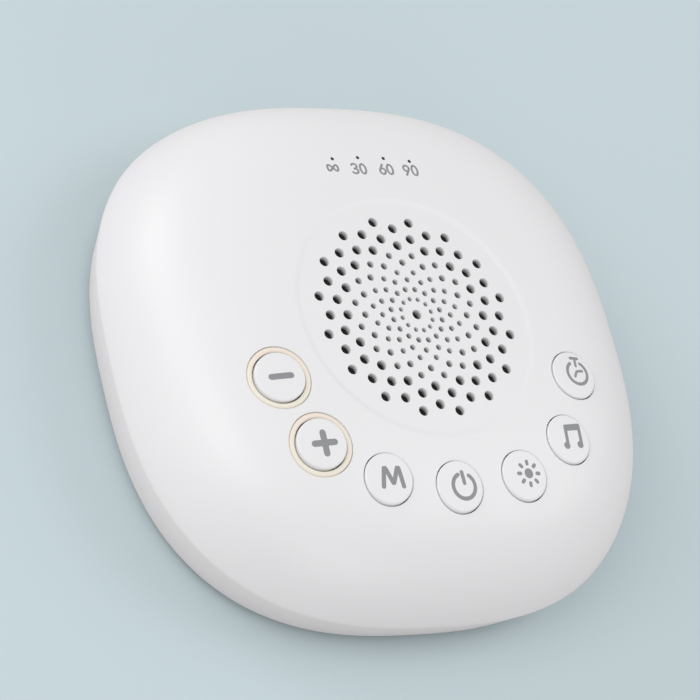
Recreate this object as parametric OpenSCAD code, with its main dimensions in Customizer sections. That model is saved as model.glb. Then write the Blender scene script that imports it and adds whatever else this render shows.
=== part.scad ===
// White noise sound machine: a rounded-square plastic case with a domed face, a drilled
// speaker grille, seven push buttons, four timer lamps and a drafted base on rubber feet.
// Millimetres. +Z is up, out of the face; +Y points to the timer lamps.
// The origin is on the table, under the centre of the case.

/* [Case] */
// Half of the width of the case across its flat sides
half_w = 55; // [52:0.5:62]
// Power of the rounded-square outline: 2 is a circle, more is squarer
corner_n = 2.6; // [2.4:0.05:3]
// Height of the dome over the parting line
dome_h = 21; // [19:0.5:26]
// Share of the dome's height that its shallow crown takes
crown = 0.18; // [0.1:0.02:0.24]
// Power of the dome's shoulder: more makes it sharper
shoulder = 7.8; // [7:0.1:10]
// Roundness of the dome where it meets the parting line
roll = 1.41; // [1.3:0.02:1.6]
// Height of the base, from its underside to the parting line
base_h = 10.2; // [9.5:0.1:14]
// Draft of the side of the base, in degrees
base_draft = 14.4; // [8:0.2:16]
// Radius of the lower edge of the base
base_edge_r = 2; // [1.5:0.1:2.6]
// Thickness of the case walls
wall = 2.2; // [1.8:0.1:2.6]
// Thickness of the crown of the dome
crown_t = 2.8; // [2.4:0.1:3.2]
// Height of the tongue that locates the dome on the base
tongue_h = 1.5; // [1:0.1:2]
// Thickness of the tongue
tongue_t = 1.2; // [1:0.1:1.4]

/* [Grille] */
// Thickness of the grille in its middle
grille_t = 1.6; // [1.4:0.1:1.8]
// Radius of the shallow round dish that holds the grille
dish_r = 24.1; // [23.5:0.1:25]
// Depth of the dish at its centre
dish_d = 0.15; // [0.1:0.05:0.25]
// Radius of the grille's spherical surface
dish_sphere_r = 500; // [400:10:700]
// Width over height of the dish's sloping edge
dish_slope = 5; // [3:0.5:6]
// Radius of the innermost ring of holes
grille_first_r = 3.36; // [3.2:0.02:3.5]
// Radius of the first ring of the even set
grille_even_r = 5.45; // [5.3:0.05:5.6]
// Radius of the first ring of the odd set
grille_odd_r = 7.47; // [7.3:0.05:7.6]
// Distance between the rings of one set
grille_pitch = 3.73; // [3.6:0.01:3.8]
// Rings in the even set; the odd set has one fewer
grille_sets = 5; // [4:1:5]
// Holes in the innermost ring
grille_first_count = 12; // [8:1:12]
// Holes in every other ring
grille_count = 16; // [12:1:16]
// Radius of the centre hole and of the holes in the outer rings
grille_big_r = 1; // [0.8:0.05:1.1]
// Radius of the holes in the middle rings
grille_mid_r = 0.72; // [0.6:0.02:0.8]
// Radius of the holes in the inner rings
grille_small_r = 0.6; // [0.5:0.02:0.64]
// Radius of the holes in the innermost ring
grille_first_hole_r = 0.5; // [0.4:0.02:0.55]

/* [Buttons] */
// Place of the power button: its share of the way to the front of the case
power_key = 0.64; // [0.62:0.001:0.66]
// Place of the buttons beside it: shares of the way to the side and to the front
inner_key = [0.269, 0.6055]; // [0.26:0.001:0.62]
// Place of the next buttons: shares of the way to the side and to the front
middle_key = [0.491, 0.473]; // [0.46:0.001:0.5]
// Place of the outermost buttons: shares of the way to the side and to the front
outer_key = [0.587, 0.227]; // [0.22:0.001:0.6]
// Radius of a button
key_r = 4.9; // [4.7:0.05:5.2]
// Gap between a button and its hole
key_gap = 0.2; // [0.15:0.05:0.3]
// How far the middle of a button stands proud of the face
key_proud = 0.45; // [0.3:0.05:0.6]
// Radius of the crown of a button
key_crown_r = 80; // [48:1:100]
// Radius of the rounded edge of a button, as a sphere
key_edge_r = 8; // [7.4:0.1:9]
// Width of the rounded edge of a button
key_edge_w = 0.5; // [0.4:0.05:0.8]
// Height of the collar inside a button, at its lower end
key_flange_t = 1; // [0.8:0.1:1.2]
// How much wider than the button its collar is
key_flange_w = 1.2; // [1:0.1:1.4]
// Thickness of a button's top and side walls
key_wall = 1.3; // [1:0.1:1.5]
// Wall of the guide tube round each button
guide_wall = 1.8; // [1.6:0.1:2]
// Distance from the end of a guide tube to a button's collar at rest
key_stop = 0.3; // [0.2:0.05:0.4]
// Radius of the pin under a button
key_pin_r = 1.5; // [1.3:0.1:1.7]
// Length of the pin below a button's collar
key_pin_l = 1; // [0.8:0.1:1.4]
// How far a button travels when it is pressed
key_travel = 0.6; // [0.3:0.1:0.7]
// Width of the cream ring round each volume button
ring_w = 1.2; // [0.9:0.05:1.3]
// Depth of the seat of the cream ring, under the face at the button's centre
ring_depth = 2.6; // [2.4:0.1:2.8]

/* [Timer lamps] */
// Place of the middle of the row of lamps: its share of the way to the back of the case
led_row = 0.633; // [0.62:0.001:0.645]
// Distance between the lamps
led_pitch = 5.76; // [5.5:0.02:6]
// Radius of the arc that the row of lamps lies on
led_arc_r = 71; // [60:1:90]
// Radius of a lamp's pinhole
pinhole_r = 0.38; // [0.34:0.02:0.44]
// Radius of a light pipe
pipe_r = 1.3; // [1.1:0.1:1.5]
// Thickness of the bar that joins the light pipes
pipe_bar_t = 2; // [1.5:0.1:2.5]

/* [Speaker] */
// Radius of the speaker's frame
speaker_r = 25; // [24.6:0.1:25.4]
// Height of the speaker, from the front of its frame to the back of its magnet
speaker_h = 17.5; // [16:0.5:18]
// Thickness of the rim of the speaker's frame
speaker_rim_t = 1; // [0.8:0.1:1.2]
// Radius of the magnet
magnet_r = 13.5; // [12:0.5:14.5]
// Thickness of the magnet with its two plates
magnet_h = 7; // [6:0.5:7.5]
// Thickness of the speaker's foam gasket
gasket_t = 1.2; // [1:0.1:1.4]
// Width of the foam gasket
gasket_w = 3.4; // [3:0.1:3.6]
// Thickness of the dust cloth behind the grille
cloth_t = 0.4; // [0.3:0.05:0.5]
// Wall of the ring that the speaker sits in
speaker_ring_t = 1.5; // [1.2:0.1:1.6]
// Thickness of the sheet that the speaker's frame is pressed from
basket_t = 0.8; // [0.6:0.1:1]
// Radius of the dust cap in the middle of the cone
dust_cap_r = 7; // [6.5:0.1:7.5]
// Height of the dust cap
dust_cap_h = 2.3; // [1.8:0.1:2.6]
// Width of the soft roll round the cone
surround_w = 2.8; // [2.4:0.1:3]

/* [Circuit board] */
// Distance from the side of the case to the edge of the main board
board_in = 14.5; // [14.2:0.1:15]
// Thickness of the main board
board_t = 1.6; // [1.2:0.1:2]
// Radius of the hole in the main board
board_hole_r = 22.5; // [21.5:0.1:23]
// Width of a switch
switch_w = 6; // [5.6:0.1:6.2]
// Height of a switch's body
switch_body_h = 3.6; // [3.4:0.1:3.8]
// Height of a switch up to the end of its stem
switch_h = 5; // [4.8:0.1:5.4]
// Thickness of the cover of a switch's body
switch_cover_t = 0.8; // [0.6:0.1:0.9]
// Radius of a switch's stem
stem_r = 1.7; // [1.5:0.1:1.8]
// How much wider than the stem its foot is
stem_foot_w = 0.5; // [0.3:0.1:0.6]
// Thickness of the foot of a switch's stem
stem_foot_t = 0.5; // [0.4:0.1:0.6]
// Clearance round a switch's stem
stem_gap = 0.1; // [0.08:0.01:0.15]
// Length, width and height of the small lamps on the board
lamp_size = [1.6, 0.8, 0.8]; // [0.6:0.1:1.8]
// Radius of a board post
post_r = 2.1; // [2:0.1:2.2]
// Place of the two board posts at the sides: in from the edge of the board, and up
side_post = [3.5, 4]; // [2:0.5:5]
// Place of the two board posts near the lamps: across and up
lamp_post = [22.5, 29.5]; // [22:0.5:30]
// Radius of the thread of the small screws
small_screw_r = 0.9; // [0.8:0.05:1]
// Radius of the washer head of the small screws
small_head_r = 2.3; // [2.1:0.1:2.4]
// Height of the washer head of the small screws
small_head_h = 1.1; // [0.9:0.1:1.3]
// Length of the screws of the main board
board_screw_l = 6; // [5:0.5:7]
// Length of the screws that hold the speaker
clamp_screw_l = 2.2; // [2:0.1:2.4]
// Size of the sound chip
chip_size = [10, 6, 1.5]; // [1:0.1:12]
// Radius of the capacitor
capacitor_r = 2.5; // [2:0.1:3]
// Height of the capacitor
capacitor_h = 5.5; // [5:0.1:7]
// Size of a wire socket: across, along the wires and high
socket_size = [6, 4.5, 4]; // [3.5:0.1:6.5]
// Radius of a wire
wire_r = 0.5; // [0.4:0.05:0.6]
// Distance between the wires of one lead
wire_pitch = 1.25; // [1.2:0.05:1.4]

/* [Battery and power inlet] */
// Length of the battery
battery_l = 48; // [40:1:50]
// Width of the battery
battery_w = 34; // [30:1:38]
// Thickness of the battery
battery_t = 5; // [4:0.1:5.2]
// Thickness of the foam pad under the battery
pad_t = 0.5; // [0.3:0.1:0.8]
// Width of the power inlet's metal shell
inlet_w = 8.94; // [8.9:0.01:9]
// Height of the power inlet's metal shell
inlet_h = 3.26; // [3.2:0.01:3.3]
// Depth of the power inlet's metal shell
inlet_l = 7.3; // [6.5:0.1:8]
// Thickness of the power inlet's metal shell
inlet_t = 0.3; // [0.2:0.05:0.35]
// Depth of the power inlet's socket
inlet_depth = 6.2; // [5.8:0.1:6.3]
// Height of the power inlet's centre over the underside of the base
inlet_z = 5.6; // [5.5:0.1:6]
// Clearance round the power inlet in the case
inlet_gap = 0.35; // [0.3:0.05:0.5]
// How far the power inlet is set back from the outside of the base
inlet_set = 0.5; // [0.3:0.1:0.8]
// Thickness of the tongue in the power inlet
inlet_tongue_t = 0.7; // [0.6:0.05:0.8]
// Width of the tongue in the power inlet
inlet_tongue_w = 6.7; // [6.6:0.05:6.8]
// Size of the power board: across, along and thick
power_board_size = [20, 16, 1]; // [0.8:0.1:22]
// Length of the screws of the power board
power_screw_l = 2.6; // [2.4:0.1:2.8]
// Size of the charging chip
charge_chip_size = [5, 4, 1.2]; // [1:0.1:6]
// Height of the ribs at the corners of the battery
battery_rib_h = 3; // [2:0.1:4]
// Length of the ribs at the corners of the battery
battery_rib_l = 7; // [5:0.5:9]
// Thickness of the ribs at the corners of the battery
battery_rib_t = 1.2; // [1:0.1:1.4]
// How far the battery lies behind the middle of the case
battery_back = 4; // [2:0.5:5]

/* [Screws and feet] */
// Distance from the side of the case to a corner screw
boss_inset = 21; // [20.5:0.1:22]
// Radius of a screw boss
boss_r = 3.6; // [3.4:0.1:3.8]
// Radius of the thread of a case screw
screw_r = 1.3; // [1.2:0.05:1.4]
// Radius of the head of a case screw
screw_head_r = 2.5; // [2.3:0.1:2.6]
// Height of the head of a case screw
screw_head_h = 1.9; // [1.6:0.1:2.1]
// Length of a case screw under its head
screw_l = 14; // [12:0.5:16]
// Clearance round a screw in its hole
screw_gap = 0.05; // [0.03:0.01:0.1]
// Radius of a rubber foot
foot_r = 5.5; // [5:0.1:5.8]
// Height that a rubber foot stands proud of the base
foot_h = 1.2; // [1:0.1:2]
// Width of the sloping edge of a rubber foot
foot_edge = 0.3; // [0.2:0.05:0.5]
// Depth of the recess that a rubber foot sits in
foot_recess = 0.8; // [0.6:0.1:1]

/* [Hidden] */

$fn = 64;
rim_steps = 80;
dome_steps = 15;
dome_top = 0.15;
cavity_steps = 9;
edge_steps = 4;
over = 1;
slide = 0.15;

// Heights, from the table up
z_base = foot_h;
z_part = z_base + base_h;
z_floor = z_base + wall;
z_apex = z_part + dome_h;
z_over = z_apex + over;
cavity_half = half_w - wall;
cavity_h = dome_h - crown_t;
z_dish = z_apex - dish_d;
z_seat = z_dish - grille_t;

// Height of the dome, from 1 at its centre to 0 at its rim, at the share u of the way out
function dome_share(u) = u >= 1 ? 0
    : pow(1 - crown * u * u - (1 - crown) * pow(u, shoulder), 1 / roll);
// Radius of a rounded square of half width 1 at the polar angle a
function rim(a) = pow(pow(abs(cos(a)), corner_n) + pow(abs(sin(a)), corner_n),
    -1 / corner_n);
function side_y(x, half) = half * pow(1 - pow(abs(x) / half, corner_n), 1 / corner_n);
function way_out(p, half) = norm(p) / (half * rim(atan2(p.y, p.x)));
// Heights of the face and of the ceiling of the cavity over the point p
function face_z(p) = z_part + dome_h * dome_share(way_out(p, half_w));
function cavity_z(p) = z_part + cavity_h * dome_share(way_out(p, cavity_half));
// The point that lies d further out than p
function outer_point(p, d) = p * (1 + d / norm(p));
function unit(v) = v / norm(v);
// Direction straight out of the face over the point p
function face_normal(p, d = 0.05) = unit([
    (face_z(p - [d, 0]) - face_z(p + [d, 0])) / (2 * d),
    (face_z(p - [0, d]) - face_z(p + [0, d])) / (2 * d), 1]);
// How far the side of the base has drawn in at the height z
function draft_in(z) = (z_part - z) * tan(base_draft);

tongue_half = cavity_half - slide
    - cavity_half * pow(tongue_h / cavity_h, roll) / (2 * crown + shoulder * (1 - crown));
floor_half = half_w - draft_in(z_floor) - wall / cos(base_draft);
base_core = half_w - draft_in(z_base + base_edge_r) - base_edge_r / cos(base_draft);

// The buttons from left to right; the first two have cream rings
KEYS = half_w * [-outer_key, -middle_key, -inner_key, [0, -power_key],
    [inner_key.x, -inner_key.y], [middle_key.x, -middle_key.y], [outer_key.x, -outer_key.y]];
RINGED = [KEYS[0], KEYS[1]];
guide_r = key_r + key_gap;
ring_r = guide_r + ring_w;
flange_r = key_r + key_flange_w;
hollow_r = key_r - key_wall;
guide_z = min([for (k = KEYS) cavity_z(outer_point(k, flange_r + key_stop))]) - key_stop;
z_flange = guide_z - key_stop - key_flange_t;
z_stem = z_flange - key_pin_l;
z_board = z_stem - switch_h;
z_cover = z_board + switch_body_h - switch_cover_t;
z_foot = z_cover - stem_gap - stem_foot_t;
chamber_r = stem_r + stem_foot_w + stem_gap;

LAMPS = [for (i = [-1.5:1:1.5]) [i * led_pitch,
    led_row * half_w - pow(i * led_pitch, 2) / (2 * led_arc_r)]];
lamp_skin = 2 * pinhole_r;
z_pipe = z_board + lamp_size.z + 2 * slide;

z_cloth = z_seat - cloth_t;
z_gasket = z_cloth - gasket_t;
z_rim = z_gasket - speaker_rim_t;
z_magnet = z_gasket - speaker_h;
z_plate = z_magnet + magnet_h;
cup_r = speaker_r + slide;
ring_wall_r = cup_r + speaker_ring_t;
surround_r = speaker_r - gasket_w;
basket_foot_r = magnet_r + basket_t;

board_half = half_w - board_in;
// Board posts: at the sides, by the lamps, and between the power button and its neighbours
key_post_turn = atan2(inner_key.x, inner_key.y) / 2;
key_post_r = ring_wall_r + post_r;
POSTS = [for (s = [-1, 1]) each [[s * (board_half - side_post.x), side_post.y],
    [s * lamp_post.x, lamp_post.y],
    key_post_r * [s * sin(key_post_turn), -cos(key_post_turn)]]];
// Screws whose heads hold the rim of the speaker
clamp_at = cup_r + small_screw_r + screw_gap + small_screw_r / 2;
CLAMPS = [for (a = [45:90:315]) clamp_at * [cos(a), sin(a)]];
BOSSES = [for (x = [-1, 1], y = [-1, 1]) (half_w - boss_inset) * [x, y]];
z_screw = z_base + foot_recess + screw_head_h + slide;
boss_gap = 2 * slide;

z_inlet = z_base + inlet_z;
z_power = z_inlet - inlet_h / 2 - power_board_size.z;
inlet_y = half_w - draft_in(z_inlet) - inlet_set;
power_y = side_y(power_board_size.x / 2, floor_half) - 2 * slide;
power_in_y = power_y - power_board_size.y;
POWER_POSTS = [for (s = [-1, 1]) [s * (power_board_size.x / 2 - small_head_r),
    power_in_y + small_head_r]];
battery_mid = [0, -battery_back];
z_battery = z_floor + pad_t;
z_wire = z_battery + battery_t / 2;

// Sockets: of the speaker, the battery and the link to the power board, under the board
z_socket = z_board - board_t - socket_size.z;
socket_at = board_hole_r + socket_size.y / 2 + 4 * slide;
SPEAKER_SOCKET = [socket_at, 0];
BATTERY_SOCKET = [-max(socket_at, battery_l / 2 + 3 * wire_r), 0];
LINK_SOCKET = [0, socket_at];
power_socket_y = power_in_y + 2 * small_head_r + socket_size.y / 2 + slide;

white = [0.91, 0.91, 0.92];
grey_white = [0.8, 0.8, 0.81];
cream = [0.93, 0.88, 0.78];
board_green = [0.1, 0.35, 0.2];
steel = [0.7, 0.7, 0.72];
black = [0.1, 0.1, 0.1];
rubber_grey = [0.35, 0.35, 0.36];

// Rows of a dome, from its rim to the share `inner` of the way out
function dome_rows(half, h, steps, inner) = [for (i = [0:steps])
    let (u = 1 - (1 - inner) * pow(i / steps, 2)) [half * u, z_part + h * dome_share(u)]];

// A solid through rounded squares: each row is a half width and a height, from the bottom
module loft(rows) {
    last = len(rows) - 1;
    points = [for (row = rows, i = [0:rim_steps - 1])
        let (a = 360 * i / rim_steps, r = row[0] * rim(a)) [r * cos(a), r * sin(a), row[1]]];
    function at(j, i) = j * rim_steps + i % rim_steps;
    sides = [for (j = [0:last - 1], i = [0:rim_steps - 1])
        each [[at(j, i), at(j + 1, i), at(j + 1, i + 1)],
            [at(j, i), at(j + 1, i + 1), at(j, i + 1)]]];
    bottom = [for (i = [0:rim_steps - 1]) i];
    top = [for (i = [rim_steps - 1:-1:0]) at(last, i)];
    polyhedron(points = points, faces = concat([bottom], sides, [top]));
}

module face_solid() loft(dome_rows(half_w, dome_h, dome_steps, dome_top));

module rounded_square(half) polygon([for (i = [0:rim_steps - 1])
    let (a = 360 * i / rim_steps) half * rim(a) * [cos(a), sin(a)]]);

// An upright rod of radius r over the point p, between two heights
module rod(p, r, low, high) translate([p.x, p.y, low]) cylinder(r = r, h = high - low);

// A box that stands on the height `low` over the point p
module block(p, size, low) translate([p.x - size.x / 2, p.y - size.y / 2, low]) cube(size);

module stadium(w, h) {
    square([w - h, h], center = true);
    for (s = [-1, 1]) translate([s * (w - h) / 2, 0]) circle(d = h);
}

module ring_of_holes(count, turn, ring, r) for (i = [0:count - 1])
    let (a = turn + 360 * i / count) rod(ring * [cos(a), sin(a)], r, z_seat - over, z_over);

module grille() {
    step = 360 / grille_count;
    rod([0, 0], grille_big_r, z_seat - over, z_over);
    ring_of_holes(grille_first_count, step / 2, grille_first_r, grille_first_hole_r);
    for (j = [0:grille_sets - 1]) ring_of_holes(grille_count, step / 2,
        grille_even_r + j * grille_pitch,
        j > 2 ? grille_big_r : j > 1 ? grille_mid_r : grille_small_r);
    for (j = [0:grille_sets - 2]) ring_of_holes(grille_count, 0,
        grille_odd_r + j * grille_pitch,
        j > 1 ? grille_big_r : j > 0 ? grille_mid_r : grille_small_r);
}

// What the shallow dish takes off the crown of the dome
module dish() {
    edge_z = z_dish - dish_r * dish_r / (2 * dish_sphere_r);
    rotate_extrude() difference() {
        polygon([[0, edge_z], [dish_r, edge_z],
            [dish_r + dish_slope * (z_over - edge_z), z_over], [0, z_over]]);
        translate([0, z_dish - dish_sphere_r]) circle(dish_sphere_r, $fn = 256);
    }
}

module top_shell() color(white) difference() {
    face_solid();
    difference() {
        loft(concat([[cavity_half, z_part - over]],
            dome_rows(cavity_half, cavity_h, cavity_steps, surround_r / cavity_half)));
        for (k = KEYS) rod(k, guide_r + guide_wall, guide_z, z_over);
        rod([0, 0], ring_wall_r, z_rim, z_over);
        for (p = CLAMPS) rod(p, post_r, z_rim, z_over);
        for (p = POSTS) rod(p, post_r, z_board, z_over);
        for (p = BOSSES) rod(p, boss_r, z_part, z_over);
    }
    rod([0, 0], cup_r, z_part, z_seat);
    dish();
    grille();
    for (k = KEYS) rod(k, guide_r, z_part, z_over);
    for (k = RINGED) rod(k, ring_r, face_z(k) - ring_depth, z_over);
    for (p = LAMPS) {
        rod(p, pinhole_r, z_part, z_over);
        rod(p, pipe_r + slide, z_part, face_z(p) - lamp_skin);
    }
    for (p = CLAMPS) rod(p, small_screw_r + screw_gap, z_part, z_rim + clamp_screw_l + slide);
    for (p = POSTS) rod(p, small_screw_r + screw_gap, z_part,
        z_board - board_t + board_screw_l + slide);
    for (p = BOSSES) rod(p, screw_r + screw_gap, z_part - over, z_screw + screw_l + slide);
}

// One quarter of the ribs that hold the battery, at its front right corner
module battery_rib() translate(battery_mid + [battery_l, battery_w] / 2
    + (slide + battery_rib_t - battery_rib_l) * [1, 1]) difference() {
        square(battery_rib_l);
        translate(-over * [1, 1]) square(battery_rib_l - battery_rib_t + over);
    }

module battery_ribs() for (m = [0, 1], n = [0, 1]) translate([0, 0, z_floor - over])
    linear_extrude(over + battery_rib_h) translate(battery_mid) mirror([m, 0]) mirror([0, n])
        translate(-battery_mid) battery_rib();

module base_shell() color(grey_white) difference() {
    loft(concat([for (i = [0:edge_steps])
        let (a = -90 + (90 - base_draft) * i / edge_steps)
        [base_core + base_edge_r * cos(a), z_base + base_edge_r * (1 + sin(a))]],
        [[half_w, z_part], [tongue_half, z_part], [tongue_half, z_part + tongue_h]]));
    difference() {
        loft([[floor_half, z_floor], [tongue_half - tongue_t, z_part + tongue_h + over]]);
        for (p = BOSSES) rod(p, boss_r, z_floor - over, z_part);
        for (p = POWER_POSTS) rod(p, small_head_r, z_floor - over, z_power);
        battery_ribs();
        for (s = [-1, 1]) block([s * (power_board_size.x / 2 - small_head_r / 2),
            power_y - small_head_r / 2], [small_head_r, small_head_r, over + z_power - z_floor],
            z_floor - over);
    }
    for (p = BOSSES) {
        rod(p, foot_r + slide, z_base - over, z_base + foot_recess);
        rod(p, screw_head_r + slide, z_base - over, z_screw);
        rod(p, screw_r + 2 * slide, z_base - over, z_part + over);
    }
    for (p = POWER_POSTS) rod(p, small_screw_r + screw_gap,
        z_power + power_board_size.z - power_screw_l - slide, z_part);
    translate([0, half_w, z_inlet]) rotate([90, 0, 0]) linear_extrude(half_w - power_y + slide)
        stadium(inlet_w + 2 * inlet_gap, inlet_h + 2 * inlet_gap);
}

module dust_cloth() color(black) rod([0, 0], speaker_r, z_cloth, z_seat);

module speaker_gasket() color(black) difference() {
    rod([0, 0], speaker_r, z_gasket, z_cloth);
    rod([0, 0], surround_r, z_gasket - over, z_cloth + over);
}

// The pressed frame: a flat rim, a tapering basket with four windows and a flat foot
module speaker_frame() color(steel) difference() {
    rotate_extrude() polygon([[speaker_r, z_gasket], [surround_r, z_gasket],
        [basket_foot_r - basket_t, z_plate + basket_t], [dust_cap_r + basket_t,
        z_plate + basket_t], [dust_cap_r + basket_t, z_plate], [basket_foot_r, z_plate],
        [surround_r + basket_t, z_rim], [speaker_r, z_rim]]);
    for (a = [0:90:270]) rotate(a)
        block([basket_foot_r, 0], [magnet_r, dust_cap_r, z_rim - z_plate - 3 * basket_t],
            z_plate + 2 * basket_t);
}

// Points of a part of an ellipse
function arc(mid, rx, ry, from, to, n = 8) = [for (i = [0:n])
    let (a = from + (to - from) * i / n) mid + [rx * cos(a), ry * sin(a)]];

// The paper cone with its soft roll, dust cap and voice coil, as one turned sheet
module speaker_cone() color(black) {
    t = basket_t / 2;
    roll_r = surround_w / 2;
    roll_mid = surround_r - basket_t - slide - roll_r;
    drop = (roll_mid - roll_r - dust_cap_r) / 2;
    coil_z = z_plate + 2 * basket_t;
    rotate_extrude() polygon(concat(
        arc([roll_mid, z_rim], roll_r, roll_r, 0, 180),
        [[dust_cap_r + t, z_rim - drop + t]],
        arc([0, z_rim - drop + t], dust_cap_r, dust_cap_h, 0, 90),
        arc([0, z_rim - drop + t], dust_cap_r - t, dust_cap_h - t, 90, 0),
        [[dust_cap_r - t, coil_z], [dust_cap_r, coil_z], [dust_cap_r, z_rim - drop - t]],
        [[roll_mid - roll_r, z_rim - t]],
        arc([roll_mid, z_rim], roll_r - t, roll_r - t, 180, 0)));
}

// A magnet between two slightly smaller steel plates
module speaker_magnet() color(steel) rotate_extrude() {
    plate_t = 2 * basket_t;
    translate([0, z_magnet + plate_t]) square([magnet_r, magnet_h - 2 * plate_t]);
    translate([0, z_magnet]) square([magnet_r - basket_t / 2, magnet_h]);
}

// A small screw with a washer head, pointing up from the underside of its head seat
module small_screw(l) {
    translate([0, 0, -small_head_h]) cylinder(r1 = (small_screw_r + small_head_r) / 2,
        r2 = small_head_r, h = small_head_h / 2);
    translate([0, 0, -small_head_h / 2]) cylinder(r = small_head_r, h = small_head_h / 2);
    cylinder(r = small_screw_r, h = l);
}
module speaker_screws() color(steel) for (p = CLAMPS)
    translate([p.x, p.y, z_rim]) small_screw(clamp_screw_l);
module board_screws() color(steel) for (p = POSTS)
    translate([p.x, p.y, z_board - board_t]) small_screw(board_screw_l);
module power_screws() color(steel) for (p = POWER_POSTS)
    translate([p.x, p.y, z_power + power_board_size.z]) mirror([0, 0, 1])
        small_screw(power_screw_l);

module main_board() color(board_green) translate([0, 0, z_board - board_t])
    linear_extrude(board_t) difference() {
        rounded_square(board_half);
        circle(board_hole_r);
        for (p = BOSSES) translate(p) circle(boss_r + boss_gap);
        for (p = POSTS) translate(p) circle(small_screw_r + slide);
    }

// Push switches: a square body with a round chamber that traps the foot of the stem
module switch_bodies() color(black) for (k = KEYS) difference() {
    block(k, [switch_w, switch_w, switch_body_h], z_board);
    rod(k, stem_r + stem_gap, z_board + switch_cover_t, z_cover + over);
    rod(k, chamber_r, z_board + switch_cover_t, z_cover);
}
module stem(k) color(grey_white) {
    rod(k, stem_r, z_foot, z_stem);
    rod(k, stem_r + stem_foot_w, z_foot, z_foot + stem_foot_t);
}

// A button: a hollow cap with a crowned top and a rounded edge, a collar below that keeps it
// in its guide tube, and a pin that presses on the switch
module button(k) color(white) {
    top = [k.x, k.y, face_z(k)];
    out = face_normal(k);
    edge_at = key_r - key_edge_w;
    edge_drop = key_crown_r - sqrt(key_crown_r * key_crown_r - edge_at * edge_at);
    edge_mid = key_proud - edge_drop - sqrt(key_edge_r * key_edge_r - edge_at * edge_at);
    ceiling = face_z(outer_point(k, hollow_r)) - key_wall;
    difference() {
        union() {
            intersection() {
                rod(k, key_r, z_flange, z_over);
                translate(top + (key_proud - key_crown_r) * out) sphere(key_crown_r, $fn = 200);
                translate(top + edge_mid * out) sphere(key_edge_r, $fn = 100);
            }
            rod(k, flange_r, z_flange, z_flange + key_flange_t);
        }
        difference() {
            rod(k, hollow_r, z_flange - over, ceiling);
            rod(k, key_pin_r, z_flange - over, z_over);
        }
    }
    rod(k, key_pin_r, z_stem, z_flange + key_flange_t);
}

// The cream rings lie flush with the face
module key_ring(k) color(cream) difference() {
    intersection() {
        rod(k, ring_r - slide / 3, face_z(k) - ring_depth, z_over);
        face_solid();
    }
    rod(k, guide_r, z_part, z_over);
}

module timer_lamps() color(cream) for (p = LAMPS) block(p, lamp_size, z_board);

// One clear moulding of four light pipes on a bar
module light_guide() color(cream) {
    for (p = LAMPS) rod(p, pipe_r, z_pipe, face_z(p) - lamp_skin - slide);
    low = LAMPS[0];
    block([0, low.y], [-2 * low.x, pipe_bar_t, pipe_bar_t], (z_pipe + z_seat) / 2 - pipe_bar_t);
}

module sound_chip() color(black)
    block([-(board_hole_r + board_half) / 2, side_post.y + 2 * post_r + chip_size.y], chip_size,
        z_board);
module capacitor() color(black)
    rod([(board_hole_r + board_half) / 2, side_post.y + 2 * post_r + chip_size.y], capacitor_r,
        z_board, z_board + capacitor_h);

// A wire socket, open where its plug's wires come out
module socket(p, turn, low) translate([p.x, p.y, low]) rotate(turn) block([0, 0],
    [socket_size.x, socket_size.y, socket_size.z], 0);
module sockets() color(white) {
    socket(SPEAKER_SOCKET, 90, z_socket);
    socket(BATTERY_SOCKET, 90, z_socket);
    socket(LINK_SOCKET, 0, z_socket);
    socket([0, power_socket_y], 0, z_power + power_board_size.z);
}

// A pouch cell with round long edges
module battery() color(steel) translate([battery_mid.x - battery_l / 2, battery_mid.y,
    z_battery + battery_t / 2]) rotate([90, 0, 90]) linear_extrude(battery_l)
        stadium(battery_w, battery_t);
module battery_pad() color(black)
    block(battery_mid, [battery_l - battery_t, battery_w - 2 * battery_t, pad_t], z_floor);

module power_board() color(board_green) difference() {
    block([0, power_y - power_board_size.y / 2], power_board_size, z_power);
    for (p = POWER_POSTS) rod(p, small_screw_r + slide, z_power - over, z_part);
}
module charge_chip() color(black)
    block([power_board_size.x / 2 - small_head_r, power_y - power_board_size.y / 2 + small_head_r],
        charge_chip_size, z_power + power_board_size.z);

// The power inlet: a metal shell round an open socket with a tongue
module power_inlet() color(steel) translate([0, inlet_y, z_inlet]) rotate([90, 0, 0]) {
    difference() {
        linear_extrude(inlet_l) stadium(inlet_w, inlet_h);
        translate([0, 0, -over]) linear_extrude(inlet_depth + over)
            stadium(inlet_w - 2 * inlet_t, inlet_h - 2 * inlet_t);
    }
    translate([-inlet_tongue_w / 2, -inlet_tongue_t / 2, inlet_l - inlet_depth])
        cube([inlet_tongue_w, inlet_tongue_t, inlet_depth]);
}

// A wire through the given points
module wire(path) {
    for (i = [0:len(path) - 2])
        let (d = path[i + 1] - path[i]) translate(path[i])
            rotate([0, acos(d.z / norm(d)), atan2(d.y, d.x)]) cylinder(r = wire_r, h = norm(d));
    for (i = [1:len(path) - 2]) translate(path[i]) sphere(wire_r);
}
module speaker_leads() color(black) for (s = [-0.5, 0.5]) {
    y = s * wire_pitch;
    x = board_hole_r - 2 * wire_r - 2 * slide;
    z = z_socket + socket_size.z / 2;
    wire([[basket_foot_r + basket_t + slide, y, z_plate + basket_t], [x, y, z_plate + basket_t],
        [x, y, z], [SPEAKER_SOCKET.x - socket_size.y / 2, y, z]]);
}
module battery_leads() color(black) for (s = [-0.5, 0.5]) {
    y = battery_mid.y + s * wire_pitch;
    wire([[-battery_l / 2, y, z_wire], [BATTERY_SOCKET.x, y, z_wire],
        [BATTERY_SOCKET.x, y, z_socket]]);
}
module link_cable() color(grey_white) for (s = [-1.5:1:1.5]) {
    x = s * wire_pitch;
    z = z_power + power_board_size.z + socket_size.z / 2;
    wire([[x, power_socket_y - socket_size.y / 2, z], [x, LINK_SOCKET.y, z],
        [x, LINK_SOCKET.y, z_socket]]);
}

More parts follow.
